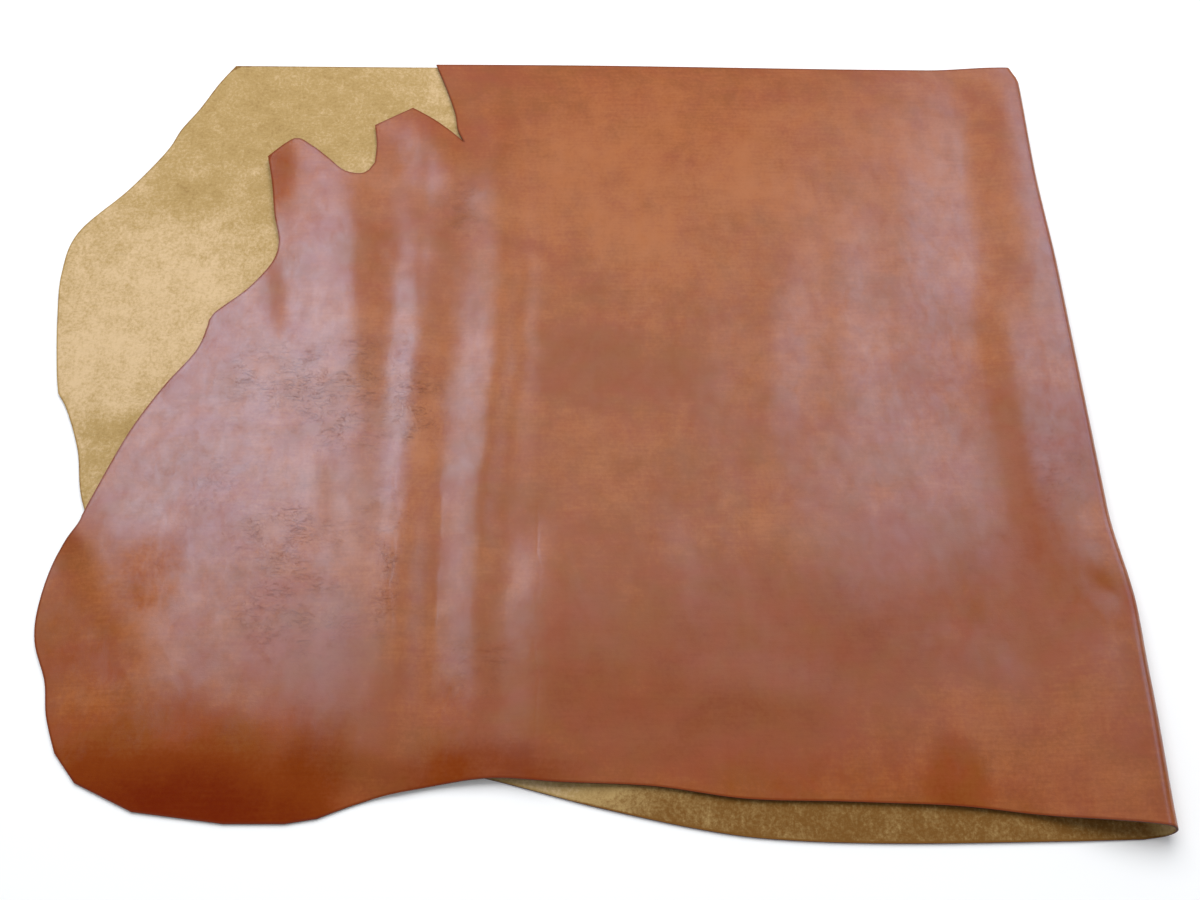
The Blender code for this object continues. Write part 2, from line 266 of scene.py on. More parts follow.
# All the bends and creases also sway together. Each wave turns by so many radians for a metre of drop
# and of reach.
Wave = namedtuple("Wave", "height per_drop per_reach")
SWAY = (
    Wave(0.0020, 48, 19),
    Wave(0.0011, 107, -31),
    Wave(0.0006, 233, 60),
)

# Broad low rises of the neck half, where stout leather does not lie quite flat.
Rise = namedtuple("Rise", "reach drop half_length half_width height")
RISES = (
    Rise(0.420, 0.300, 0.180, 0.240, 0.0020),
    Rise(0.270, 0.700, 0.160, 0.200, 0.0025),
    Rise(0.560, 0.780, 0.120, 0.160, 0.0025),
    Rise(0.205, 0.925, 0.110, 0.130, 0.0018),
)

# The lobe lies a step higher than the sheet next to it: along and across are how far the step takes to
# rise from its reach and its drop.
Terrace = namedtuple("Terrace", "reach drop along across height")
LOBE = Terrace(reach=0.745, drop=0.500, along=0.042, across=0.340, height=0.0050)

# Past the butt half the lobe comes down to the ground, ever steeper over LOBE_FALL in from its own
# edge. It breaks downwards over LOBE_BREAK, along a line that leans by LOBE_LEAN from the corner where
# the lobe begins, and not before it has cleared the flank by LOBE_CLEAR.
LOBE_FALL = 0.140
LOBE_CURVE = 1.35
LOBE_BREAK = 0.034
LOBE_LEAN = 0.22
LOBE_CLEAR = 0.050

# A dent pressed slantwise into the crown, next to the step in the fold line.
Dent = namedtuple("Dent", "reach drop length width turn depth")
DENT = Dent(reach=0.034, drop=0.781, length=0.022, width=0.011, turn=math.radians(122), depth=0.0018)

# Long soft ripples, each along a straight line. One of them is a trough, at the cheek.
Ripple = namedtuple("Ripple", "reach_1 drop_1 reach_2 drop_2 half_width height")
RIPPLES = (
    Ripple(0.632, 0.690, 0.630, 1.060, 0.105, 0.0060),
    Ripple(0.818, 0.640, 0.812, 1.000, 0.066, 0.0022),
    Ripple(0.712, 0.070, 0.704, 0.290, 0.046, 0.0018),
    Ripple(0.815, 0.070, 0.737, 0.240, 0.062, 0.0032),
    Ripple(1.006, 0.120, 0.992, 0.300, 0.048, 0.0033),
    Ripple(0.962, 0.300, 0.932, 0.460, 0.036, -0.0030),
    Ripple(1.150, 0.690, 1.020, 0.722, 0.050, 0.0014),
    Ripple(0.350, 0.300, 0.385, 0.680, 0.040, 0.0012),
    Ripple(0.262, 0.200, 0.290, 0.620, 0.036, 0.0008),
    Ripple(0.180, 0.120, 0.200, 0.560, 0.040, 0.0009),
    Ripple(0.092, 0.340, 0.082, 0.780, 0.036, 0.0020),
    Ripple(0.450, 0.340, 0.470, 0.620, 0.050, 0.0008),
    Ripple(0.560, 0.880, 0.300, 0.900, 0.050, 0.0008),
    Ripple(0.960, 0.480, 0.930, 0.600, 0.035, 0.0009),
    Ripple(0.900, 0.600, 0.880, 0.720, 0.030, 0.0009),
)
RIPPLE_TAPER = 4  # the higher, the sooner a ripple reaches its full height from its ends

# Hairline creases pressed into the grain beside the bends.
Crease = namedtuple("Crease", "reach_1 drop_1 reach_2 drop_2 half_width depth")
CREASES = (
    Crease(0.8010, 0.610, 0.7975, 0.700, 0.0030, 0.00009),
    Crease(0.7965, 0.700, 0.7935, 0.830, 0.0032, 0.00012),
    Crease(0.7485, 0.620, 0.7465, 0.730, 0.0030, 0.00008),
    Crease(0.7460, 0.740, 0.7440, 0.850, 0.0030, 0.00009),
    Crease(0.6390, 0.660, 0.6380, 0.790, 0.0026, 0.00006),
    Crease(0.6380, 0.820, 0.6370, 0.970, 0.0028, 0.00010),
    Crease(0.8200, 0.925, 0.8220, 0.995, 0.0060, 0.00014),
)
CREASE_TAPER = 6


def smooth_step(share):
    share = np.clip(share, 0, 1)
    return share * share * (3 - 2 * share)


def between_rows(rows, place):
    """The second column at places in the first, with level tangents at every row."""
    at, value = np.array(rows).T
    low = np.clip(np.searchsorted(at, place) - 1, 0, len(at) - 2)
    share = smooth_step((place - at[low]) / (at[low + 1] - at[low]))
    return value[low] + (value[low + 1] - value[low]) * share


def off_line(points, line):
    """The distance of each point from an open line of points."""
    nearest = np.full(len(points), np.inf)
    for start, end in zip(line[:-1], line[1:]):
        run = end - start
        share = np.clip(((points - start) @ run) / (run @ run), 0, 1)
        nearest = np.minimum(nearest, np.linalg.norm(points - start - share[:, None] * run, axis=1))
    return nearest


def sway(reach, drop):
    """How far the bends wander towards the neck."""
    return sum(wave.height * np.sin(wave.per_drop * drop + wave.per_reach * reach) for wave in SWAY)


def across_ridges(rows, reach, drop):
    """The rows' value at each place, blended from one ridge to the next."""
    table = np.array(rows)
    values = [between_rows(table[:, (0, n + 1)], drop) for n in range(len(RIDGES))]
    place = np.interp(reach, RIDGES, range(len(RIDGES)))
    return sum(value * np.clip(1 - abs(place - n), 0, 1) for n, value in enumerate(values))


def inside(points, ring):
    """Whether a line from each point towards +X crosses the closed ring an odd number of times."""
    odd = np.zeros(len(points), bool)
    for start, end in zip(ring, np.roll(ring, -1, axis=0)):
        if start[1] == end[1]:
            continue
        level = (start[1] > points[:, 1]) != (end[1] > points[:, 1])
        crossing = start[0] + (points[:, 1] - start[1]) / (end[1] - start[1]) * (end[0] - start[0])
        odd ^= level & (crossing > points[:, 0])
    return odd


def off_segment(points, line):
    """The distance of each point from the line's segment, and the point's share of the way along it."""
    start = np.array((line.reach_1, line.drop_1))
    run = np.array((line.reach_2, line.drop_2)) - start
    share = np.clip((points - start) @ run / (run @ run), 0, 1)
    return np.linalg.norm(points - start - share[:, None] * run, axis=1), share


def places(edges, side=1):
    return np.array([(side * edge.reach, edge.drop) for edge in edges])


LOBE_LINE = places(NECK[-1:] + SHANK_LOBE + BELLY_OF_NECK[:1])
BUTT_BELOW = places(BELLY_OF_BUTT + FLANK_AND_RUMP + BACKBONE_OF_BUTT, side=-1)


def crown_height(drop):
    return CROWN_AT_BACKBONE + (CROWN_AT_BELLY - CROWN_AT_BACKBONE) * drop / WIDTH


def rise_height(rise, reach, drop):
    """The height of a round swelling, level in its middle and along its rim."""
    off_centre = ((reach - rise.reach) / rise.half_length) ** 2 + ((drop - rise.drop) / rise.half_width) ** 2
    share = np.clip(1 - off_centre, 0, 1)
    return rise.height * share**3 * (10 - 15 * share + 6 * share**2)


def dent_depth(reach, drop):
    along = (reach - DENT.reach) * math.cos(DENT.turn) + (drop - DENT.drop) * math.sin(DENT.turn)
    across = (drop - DENT.drop) * math.cos(DENT.turn) - (reach - DENT.reach) * math.sin(DENT.turn)
    return DENT.depth * np.exp(-((along / DENT.length) ** 2) - (across / DENT.width) ** 2)


def ripple_height(reach, drop):
    """The soft ripples less the creases."""
    points = np.column_stack((reach, drop))
    height = np.zeros(len(points))
    for ripple in RIPPLES:
        away, share = off_segment(points, ripple)
        crest = ripple.height * smooth_step(1 - away / ripple.half_width)
        height += crest * smooth_step(RIPPLE_TAPER * share * (1 - share))
    points[:, 0] -= sway(reach, drop)
    for crease in CREASES:
        away, share = off_segment(points, crease)
        groove = crease.depth * smooth_step(1 - away / crease.half_width)
        height -= groove * smooth_step(CREASE_TAPER * share * (1 - share))
    return height


def lobe_droop(reach, drop):
    """The share of its height that the lobe has lost, from 0 over the butt half to 1 at its own edge."""
    points = np.column_stack((reach, drop))
    to_edge = off_line(points, LOBE_LINE)
    past_flank = off_line(points, np.vstack((BUTT_BELOW, BUTT_BELOW[:1])))
    past_neck = drop - SHANK_LOBE[0].drop - (SHANK_LOBE[0].reach - reach) * LOBE_LEAN
    near_edge = np.clip(1 - to_edge / LOBE_FALL, 0, 1) ** LOBE_CURVE
    droop = smooth_step(past_neck / LOBE_BREAK) * near_edge * smooth_step(past_flank / LOBE_CLEAR)
    return np.where(inside(points, BUTT_BELOW), 0.0, droop)


def upper_height(reach, drop, past_crown):
    """The height of the neck half's grain, past_crown beyond the top of the fold."""
    down = np.clip(past_crown - CROWN_LEVEL, 0, None) / between_rows(CROWN_FALL, drop)
    height = REST_HEIGHT + (crown_height(drop) - REST_HEIGHT) * smooth_step(1 - down)
    shifted = reach - sway(reach, drop) - across_ridges(RIDGE_SHIFT, reach, drop)
    height = height + between_rows(ROLL_BENDS, shifted) * across_ridges(RIDGE_STRENGTH, reach, drop)
    for rise in RISES:
        height = height + rise_height(rise, reach, drop)
    lift = smooth_step((reach - LOBE.reach) / LOBE.along) * smooth_step((drop - LOBE.drop) / LOBE.across)
    height = height + LOBE.height * lift + ripple_height(reach, drop) - dent_depth(reach, drop)
    return height - (height - THICKNESS) * lobe_droop(reach, drop)


def folded(drawn):
    """The places of drawn points on the folded grain face, and the same points on the unfolded hide."""
    reach, drop = drawn.T
    radius = crown_height(drop) / 2
    tangent = between_rows(FOLD_LINE, drop) + radius
    level = BEND - tangent
    wrap = 2 * level + math.pi * radius
    path = (reach + BEND) / (2 * BEND) * wrap
    angle = (path - level) / radius
    past_crown = path - level - math.pi * radius

    butt = reach <= -BEND
    neck = reach >= BEND
    run_in = ~butt & (path <= level)
    round_fold = ~butt & ~run_in & ~neck & (angle <= math.pi)
    run_out = ~butt & ~run_in & ~round_fold & ~neck
    along = np.select(
        [butt, run_in, round_fold, run_out, neck],
        [reach, path - BEND, radius * np.sin(angle) - tangent, -tangent - past_crown, -reach],
    )
    sunk = dent_depth(tangent, drop) * np.clip(-np.cos(angle), 0, 1)
    upper = upper_height(-along, drop, -along - tangent)
    height = np.select([round_fold, run_out | neck], [radius * (1 - np.cos(angle)) - sunk, upper], 0.0)
    unfolded = np.select([butt, neck], [reach + BEND - wrap / 2, reach - BEND + wrap / 2], path - wrap / 2)
    return np.column_stack((along, -drop, height)), np.column_stack((unfolded, drop))


# The drawing's grid, fine where the sheet bends and coarse where it is level. It keeps a share of its
# step clear of the outline. A finer grid takes its place round the dent, and rows of points along every
# crease.
Grid = namedtuple("Grid", "start end along across")
GRIDS = (
    Grid(-1.240, -BEND, 0.030, 0.030),
    Grid(-BEND, BEND, 0.0025, 0.008),
    Grid(BEND, 0.165, 0.005, 0.008),
    Grid(0.165, 0.600, 0.009, 0.009),
    Grid(0.600, 0.900, 0.005, 0.009),
    Grid(0.900, 1.180, 0.008, 0.008),
)
GRID_CLEAR = 0.45
CREASE_ROWS = (-1.0, -0.5, 0.0, 0.5, 1.0)  # shares of a crease's half width
CREASE_STEP = 0.006
CREASE_CLEAR = 1.4  # how many half widths of a crease the other points keep off it
DENT_GRID = 0.003
DENT_AREA = 2 * DENT.length
SNAP = 1e-6  # metres, within which delaunay_2d_cdt takes two points as one
INSIDE_ONLY = 1  # the triangles that delaunay_2d_cdt gives back


def grid_rows(start, end, step):
    count = round((end - start) / step)
    return start + (end - start) * np.arange(count) / count


def lattice(reaches, drops):
    """A point at every crossing of the rows."""
    return np.stack(np.meshgrid(reaches, drops, indexing="ij"), axis=-1).reshape(-1, 2)


def crease_points(crease):
    """Points in rows along both sides of a crease and in its bottom."""
    start, end = np.array(crease[:2]), np.array(crease[2:4])
    length = math.dist(start, end)
    steps = np.linspace(0, 1, 1 + round(length / CREASE_STEP))[:, None]
    sideways = np.array((start - end)[::-1] * (1, -1)) / length * crease.half_width
    return np.concatenate([start + (end - start) * steps + sideways * row for row in CREASE_ROWS])


def grid_points(ring):
    """The drawing's inner points, clear of the ring."""
    closed = np.vstack((ring, ring[:1]))
    dent = np.array((DENT.reach, DENT.drop))
    kept = []
    for grid in GRIDS:
        points = lattice(grid_rows(grid.start, grid.end, grid.along), grid_rows(0, WIDTH, grid.across))
        points = points[inside(points, ring)]
        clear = off_line(points, closed) > GRID_CLEAR * min(grid.along, grid.across)
        kept.append(points[clear & (np.linalg.norm(points - dent, axis=1) > DENT_AREA)])
    dent_drops = grid_rows(dent[1] - DENT_AREA, dent[1] + DENT_AREA, DENT_GRID)
    points = lattice(grid_rows(0, dent[0] + DENT_AREA, DENT_GRID), dent_drops)
    kept.append(points[np.linalg.norm(points - dent, axis=1) < DENT_AREA])
    kept = np.concatenate(kept)
    for crease in CREASES:
        straight = kept - np.column_stack((sway(*kept.T), np.zeros(len(kept))))
        kept = kept[off_segment(straight, crease)[0] > CREASE_CLEAR * crease.half_width]
    rows = np.concatenate([crease_points(crease) for crease in CREASES])
    rows[:, 0] += sway(*rows.T)
    return np.concatenate((kept, rows))


all_points = [Vector(point) for point in np.concatenate((outline, grid_points(outline)))]
ring = [(n, (n + 1) % len(outline)) for n in range(len(outline))]
drawn, _, faces, *_ = delaunay_2d_cdt(all_points, ring, [], INSIDE_ONLY, SNAP)
drawn = np.array([tuple(point) for point in drawn])
grain_points, flat_points = folded(drawn)
grain_points += (hide_high.x, hide_high.y + outline[:, 1].min(), 0)

flat_outline = folded(outline)[1]

# Where the finish varies over the hide. DYE_AND_SHADING is how much darker a patch is, and below zero how
# much lighter:
# some patches are the leather's own dyeing, many are painted shade and some are painted light, as marked
# below. CRACKLE is how wrinkled and GLAZE how much glossier, each by its amount in the middle and fading
# out to its rim.
Patch = namedtuple("Patch", "reach drop half_length half_width amount")
DYE_AND_SHADING = (
    # Painted shade: these three darken the lobe's near end, where it comes down to the ground.
    Patch(1.000, 1.055, 0.230, 0.185, 0.48),
    Patch(1.000, 1.060, 0.210, 0.130, 0.80),
    Patch(0.857, 0.965, 0.045, 0.110, 0.24),
    Patch(1.105, 0.905, 0.050, 0.060, -0.25),
    Patch(1.130, 0.900, 0.090, 0.150, 0.20),
    Patch(0.990, 0.190, 0.035, 0.070, 0.30),
    # Painted shade in the trough at the cheek.
    Patch(0.970, 0.375, 0.020, 0.060, 0.25),
    Patch(0.213, 0.985, 0.042, 0.070, 0.42),
    # Painted shade where the neck half dips over the butt half's belly edge.
    Patch(0.690, 0.985, 0.110, 0.065, 0.65),
    # Painted shade in the dent.
    Patch(0.034, 0.781, 0.040, 0.040, 0.10),
    Patch(0.038, 1.010, 0.090, 0.050, -0.14),
    # Painted shade where the sheet slopes down towards the fold.
    Patch(0.075, 0.610, 0.080, 0.120, 0.34),
    # Painted shade, darker towards the near end of the fold.
    Patch(0.180, 0.780, 0.200, 0.130, 0.25),
    Patch(0.560, 0.490, 0.130, 0.080, 0.20),
    Patch(0.772, 0.575, 0.025, 0.090, -0.22),
    Patch(0.840, 0.900, 0.090, 0.110, 0.22),
    # Painted light and shade: the neck half darker towards the belly and lighter towards the backbone.
    Patch(0.480, 0.860, 0.300, 0.160, 0.25),
    Patch(0.500, 0.200, 0.270, 0.220, -0.18),
    Patch(0.200, 0.250, 0.200, 0.280, -0.10),
    Patch(-1.000, 0.080, 0.260, 0.160, 0.22),
    Patch(-1.090, 0.230, 0.060, 0.050, 0.25),
    Patch(-0.990, 0.240, 0.050, 0.060, 0.16),
    Patch(-1.132, 0.580, 0.045, 0.024, 0.50),
    Patch(-1.150, 0.640, 0.050, 0.050, 0.12),
    # Painted shade: the flesh strip along the near edge, under the edge of the neck half and into the fold.
    Patch(-0.330, 1.030, 0.360, 0.120, 0.92),
    Patch(-0.160, 1.040, 0.155, 0.120, 0.85),
    Patch(-0.052, 1.045, 0.045, 0.060, 0.60),
    # Painted light: the butt half's flesh paler at its far end.
    Patch(-1.120, 0.400, 0.160, 0.180, -0.15),
    Patch(-1.180, 0.500, 0.100, 0.090, -0.10),
)
CRACKLE = (
    Patch(0.845, 0.520, 0.110, 0.120, 0.95),
    Patch(0.955, 0.505, 0.080, 0.060, 0.65),
    Patch(0.808, 0.700, 0.040, 0.080, 0.80),
    Patch(0.910, 0.715, 0.080, 0.060, 0.75),
    Patch(0.890, 0.810, 0.100, 0.070, 0.85),
    Patch(0.800, 0.785, 0.020, 0.080, 0.85),
    Patch(0.750, 0.250, 0.055, 0.065, 0.80),
    Patch(0.775, 0.550, 0.045, 0.080, 0.80),
    Patch(1.010, 0.640, 0.060, 0.050, 0.40),
    Patch(0.060, 0.640, 0.050, 0.080, 0.50),
    Patch(0.970, 0.620, 0.190, 0.270, 0.38),
    Patch(0.700, 0.860, 0.060, 0.060, 0.55),
)
GLAZE = (
    Patch(0.990, 0.190, 0.040, 0.090, -0.50),
    Patch(0.950, 0.250, 0.040, 0.110, -0.20),
    Patch(0.800, 0.150, 0.070, 0.070, -0.20),
    Patch(0.900, 0.560, 0.150, 0.200, 0.15),
    Patch(0.855, 0.840, 0.080, 0.080, 0.25),
    Patch(0.840, 0.330, 0.030, 0.120, -0.20),
    Patch(1.110, 0.840, 0.100, 0.140, -0.45),
    Patch(1.055, 0.755, 0.045, 0.060, -0.35),
    Patch(1.000, 1.035, 0.290, 0.188, -0.76),
    Patch(0.160, 0.500, 0.085, 0.140, -0.20),
    Patch(0.990, 1.060, 0.270, 0.140, -0.50),
    Patch(0.726, 0.940, 0.034, 0.090, -0.40),
    Patch(0.055, 0.560, 0.045, 0.150, -0.12),
    Patch(0.190, 0.800, 0.110, 0.070, -0.20),
    Patch(0.690, 0.990, 0.110, 0.055, -0.50),
    Patch(0.213, 0.985, 0.045, 0.070, -0.60),
    Patch(0.360, 1.030, 0.320, 0.100, -0.55),
    Patch(0.080, 0.700, 0.040, 0.080, -0.25),
    Patch(0.045, 0.792, 0.065, 0.060, -0.35),
)


def patched(patches):
    """The patches' amounts at every drawn point, each fading out from its middle."""
    amounts = [rise_height(Rise(*patch), *drawn.T) for patch in patches]
    return np.sum(amounts, axis=0).astype(np.float32)


mesh = bpy.data.meshes.new("leather_side")
mesh.from_pydata(grain_points.tolist(), [], faces)
from_edge = off_line(drawn, np.vstack((outline, outline[:1]))).astype(np.float32)
over_hide = {"dye_and_shading": patched(DYE_AND_SHADING), "crackle": patched(CRACKLE), "glaze": patched(GLAZE), "rim": from_edge}
for name, amounts in over_hide.items():
    mesh.attributes.new(name, "FLOAT", "POINT").data.foreach_set("value", amounts)
flat_map = mesh.uv_layers.new(name="flat_pattern")
corner_vertices = np.empty(len(mesh.loops), np.int32)
mesh.loops.foreach_get("vertex_index", corner_vertices)
flat_map.data.foreach_set("uv", flat_points[corner_vertices].astype(np.float32).ravel())
mesh.shade_smooth()

side = bpy.data.objects.new("leather_side", mesh)
bpy.context.scene.collection.objects.link(side)
wall = side.modifiers.new("thickness", "SOLIDIFY")
wall.thickness = THICKNESS
wall.offset = -1  # inwards from the grain face
wall.material_offset = 1  # the flesh face
wall.material_offset_rim = 2  # the cut edge


# ---------------------------------------------------------------- the finish
# The grain face is dyed chestnut by hand and glazed to a soft gloss. The flesh face is bare tan suede,
# and the cut edge is raw. Both faces also have painted shade and painted light in their colour.


class Signal:
    """A shader socket. Arithmetic on it adds Math nodes, and node() adds any other kind of node."""

    def __init__(self, tree, socket=None):
        self.tree = tree
        self.socket = socket

    def node(self, kind, inputs=(), output=0, **settings):
        made = self.tree.nodes.new("ShaderNode" + kind)
        for name, value in settings.items():
            setattr(made, name, value)
        for name, value in dict(inputs).items():
            if isinstance(value, Signal):
                self.tree.links.new(value.socket, made.inputs[name])
            else:
                made.inputs[name].default_value = value
        return Signal(self.tree, made.outputs[output])

    def math(self, operation, *values, clamp=False):
        return self.node("Math", enumerate(values), operation=operation, use_clamp=clamp)

    def __add__(self, other):
        return self.math("ADD", self, other)

    def __sub__(self, other):
        return self.math("SUBTRACT", self, other)

    def __mul__(self, other):
        return self.math("MULTIPLY", self, other)

    def __rsub__(self, other):
        return self.math("SUBTRACT", other, self)

    __radd__ = __add__
    __rmul__ = __mul__

    def off(self, value):
        """The size of the difference from a value."""
        return self.math("ABSOLUTE", self - value)

    def clamped(self):
        """Kept between 0 and 1."""
        return self.math("ADD", self, 0.0, clamp=True)

    def above(self, low, high):
        """0 below low, 1 above high and smooth between."""
        span = {"From Min": low, "From Max": high, "Value": self}
        return self.node("MapRange", span, interpolation_type="SMOOTHSTEP")

    def noise(self, look, dimensions="3D"):
        """Values about 0.5 over a vector, in the look of a Noise."""
        pattern = {
            "Vector": self.node("VectorMath", {0: self, 1: look.stretch}, operation="MULTIPLY"),
            "Scale": look.per_metre,
            "Detail": look.detail,
            "Roughness": look.rough,
            "Distortion": look.warp,
        }
        return self.node("TexNoise", pattern, noise_dimensions=dimensions)

    def fine_noise(self, look):
        """The same over the sheet's own plane only."""
        return self.noise(look, dimensions="2D")


def mixed(factor, low, high):
    """A colour between two, by a factor from 0 to 1."""
    return factor.node("Mix", {0: factor, 6: low, 7: high}, output=2, data_type="RGBA")


def rgb(red, green, blue):
    return (red, green, blue, 1)


def start_material(name):
    """A material, its shader and the places on the unfolded hide, in metres."""
    material = bpy.data.materials.new(name)
    material.use_nodes = True
    shader = material.node_tree.nodes["Principled BSDF"]
    flat = Signal(material.node_tree).node("UVMap", uv_map="flat_pattern")
    return material, shader, flat


def mesh_value(flat, name):
    """What the mesh holds under this name at each of its points."""
    return flat.node("Attribute", output="Fac", attribute_name=name)


def feed(shader, name, signal):
    signal.tree.links.new(signal.socket, shader.inputs[name])


def bumped(height, strength):
    """The Normal of a relief whose heights are in metres."""
    return height.node("Bump", {"Height": height, "Strength": strength, "Distance": 1.0})


# A Noise has so many features to the metre, and layers of finer ones in it that keep a share of the
# strength of the last. A stretch over 1 packs them closer, along the hide or across it, and one under 1
# draws them out. Its warp bends them.
Noise = namedtuple("Noise", "per_metre detail rough stretch warp", defaults=((1, 1, 1), 0.0))
MEAN = 0.5
Span = namedtuple("Span", "low high")

# The grain's colour. Its depth runs from the tan of the worn places and of painted light to the oxblood
# where it is dyed deepest and where shade is painted in.
TAN = rgb(0.350, 0.105, 0.027)
RUSSET = rgb(0.262, 0.059, 0.017)
OLIVE = rgb(0.246, 0.067, 0.013)
SADDLE = rgb(0.205, 0.036, 0.003)
OXBLOOD = rgb(0.150, 0.014, 0.0004)
CRACK_BROWN = rgb(0.150, 0.040, 0.018)
PAST_TAN = Span(0.0, 0.55)
TO_SADDLE = Span(0.50, 1.10)
TO_OXBLOOD = Span(0.95, 1.85)
OLIVE_PARTS = Span(0.30, 0.70)
GRAIN_DEPTH = 0.38
GRAIN_CLOUD = Noise(8.0, 4, 0.6, warp=0.5)
GRAIN_MOTTLE = Noise(25.0, 5, 0.62, (1.3, 1, 1), 0.4)
GRAIN_SPECKLE = Noise(230.0, 3, 0.6)
BRUSH_MARKS = Noise(60.0, 4, 0.65, (0.35, 4, 1))
OLIVE_CLOUD = Noise(17.0, 4, 0.6, (0.8, 1.2, 1), 0.4)
GRAIN_RIM = Span(0.0005, 0.0028)  # metres in from the cut edge
Shade = namedtuple("Shade", "cloud mottle speckle brush rim")
GRAIN_SHADE = Shade(cloud=0.75, mottle=0.60, speckle=0.36, brush=0.30, rim=0.6)

# Its wrinkles: broken lines where the hide creased as it grew, and a crackle of small cells among them.
CELLS_PER_METRE = 230.0
CRACK_WIDTH = Span(0.02, 0.12)  # shares of a cell
CRACKLED_SPOTS = Noise(60.0, 3, 0.6)
CRACKLED_PARTS = Span(0.40, 0.62)
DRAWN_GRAIN = Noise(120.0, 4, 0.6, (0.45, 1.3, 1), 0.8)
WRINKLE_LINE = Span(0.0, 0.030)
WRINKLED_SPOTS = Noise(36.0, 3, 0.6)
WRINKLED_PARTS = Span(0.36, 0.56)
LEAST_WRINKLED = 0.12
Mark = namedtuple("Mark", "cracks wrinkles rim")
BROWNED = Mark(cracks=0.20, wrinkles=0.40, rim=0.45)
DULLED = Mark(cracks=0.26, wrinkles=0.36, rim=0.6)

# Its glaze, a soft thin coat that took unevenly, over leather that hardly shines.
GRAIN_ROUGHNESS = 0.42
ROUGHNESS_CHANGE = 0.20
GRAIN_SHINE = 0.03
GLAZE_WEIGHT = 0.80
GLAZE_CHANGE = 1.1
GLAZE_SPOTS = Noise(36.0, 5, 0.66, (1.6, 1, 1), 0.3)
GLAZE_ROUGHNESS = 0.27

# Its relief, in metres: long and short waves of the sheet, pebbles, unevenness, brush marks, and what
# the wrinkles add.
LONG_WAVES = Noise(12.0, 2, 0.5)
SHORT_WAVES = Noise(30.0, 2, 0.5, (1.7, 1, 1))
UNEVENNESS = Noise(70.0, 5, 0.6)
PEBBLES_PER_METRE = 620.0
Relief = namedtuple("Relief", "long_waves short_waves pebbles uneven brush drawn cracks wrinkles")
GRAIN_RELIEF = Relief(0.0012, 0.0006, 0.00006, 0.00014, 0.00010, 0.00060, 0.00012, 0.00016)
GRAIN_BUMP = 1.0


def grain_finish():
    material, shader, flat = start_material("chestnut_grain")
    crackle = mesh_value(flat, "crackle")
    cloud = flat.noise(GRAIN_CLOUD)
    mottle = flat.noise(GRAIN_MOTTLE)
    speckle = flat.fine_noise(GRAIN_SPECKLE)
    brushed = flat.fine_noise(BRUSH_MARKS)
    fine = (speckle - MEAN) * GRAIN_SHADE.speckle + (brushed - MEAN) * GRAIN_SHADE.brush
    rim = 1.0 - mesh_value(flat, "rim").above(*GRAIN_RIM)
    clouded = GRAIN_DEPTH + (cloud - MEAN) * GRAIN_SHADE.cloud + (mottle - MEAN) * GRAIN_SHADE.mottle
    # The patches bring painted shade and painted light into the depth, together with the real dyeing.
    depth = clouded + fine + mesh_value(flat, "dye_and_shading") + rim * GRAIN_SHADE.rim
    chestnut = mixed(flat.noise(OLIVE_CLOUD).above(*OLIVE_PARTS), RUSSET, OLIVE)
    colour = mixed(depth.above(*PAST_TAN), TAN, chestnut)
    colour = mixed(depth.above(*TO_SADDLE), colour, SADDLE)
    colour = mixed(depth.above(*TO_OXBLOOD), colour, OXBLOOD)

    cell_size = {"Vector": flat, "Scale": CELLS_PER_METRE}
    cells = flat.node("TexVoronoi", cell_size, feature="DISTANCE_TO_EDGE", voronoi_dimensions="2D")
    crackled = crackle * flat.fine_noise(CRACKLED_SPOTS).above(*CRACKLED_PARTS)
    cracks = (1.0 - cells.above(*CRACK_WIDTH)) * crackled
    drawn_grain = flat.fine_noise(DRAWN_GRAIN)
    wrinkled = (crackle + LEAST_WRINKLED) * flat.fine_noise(WRINKLED_SPOTS).above(*WRINKLED_PARTS)
    wrinkles = (1.0 - drawn_grain.off(MEAN).above(*WRINKLE_LINE)) * wrinkled
    browned = (cracks * BROWNED.cracks + wrinkles * BROWNED.wrinkles + rim * BROWNED.rim).clamped()
    feed(shader, "Base Color", mixed(browned, colour, CRACK_BROWN))
    feed(shader, "Roughness", GRAIN_ROUGHNESS + (mottle - MEAN) * ROUGHNESS_CHANGE)
    shader.inputs["Specular IOR Level"].default_value = GRAIN_SHINE

    glazed = GLAZE_WEIGHT + (flat.noise(GLAZE_SPOTS) - MEAN) * GLAZE_CHANGE + mesh_value(flat, "glaze")
    dulled = cracks * DULLED.cracks + wrinkles * DULLED.wrinkles
    feed(shader, "Coat Weight", (glazed - dulled - rim * DULLED.rim).clamped())
    shader.inputs["Coat Roughness"].default_value = GLAZE_ROUGHNESS

    pebble_size = {"Vector": flat, "Scale": PEBBLES_PER_METRE}
    pebbles = flat.node("TexVoronoi", pebble_size, voronoi_dimensions="2D")
    relief = GRAIN_RELIEF
    waves = flat.noise(LONG_WAVES) * relief.long_waves + flat.noise(SHORT_WAVES) * relief.short_waves
    uneven = flat.fine_noise(UNEVENNESS) * relief.uneven
    grain = pebbles * relief.pebbles + uneven + brushed * relief.brush
    height = waves + grain + drawn_grain * wrinkled * relief.drawn
    height = height - cracks * relief.cracks - wrinkles * relief.wrinkles
    feed(shader, "Normal", bumped(height, GRAIN_BUMP))
    return material


# The flesh face: buffed suede, pale where it shows at the far end, which is painted light, and dark along
# the near edge, which is painted shade.
PALE_SUEDE = rgb(0.600, 0.430, 0.245)
GOLD_SUEDE = rgb(0.400, 0.267, 0.104)
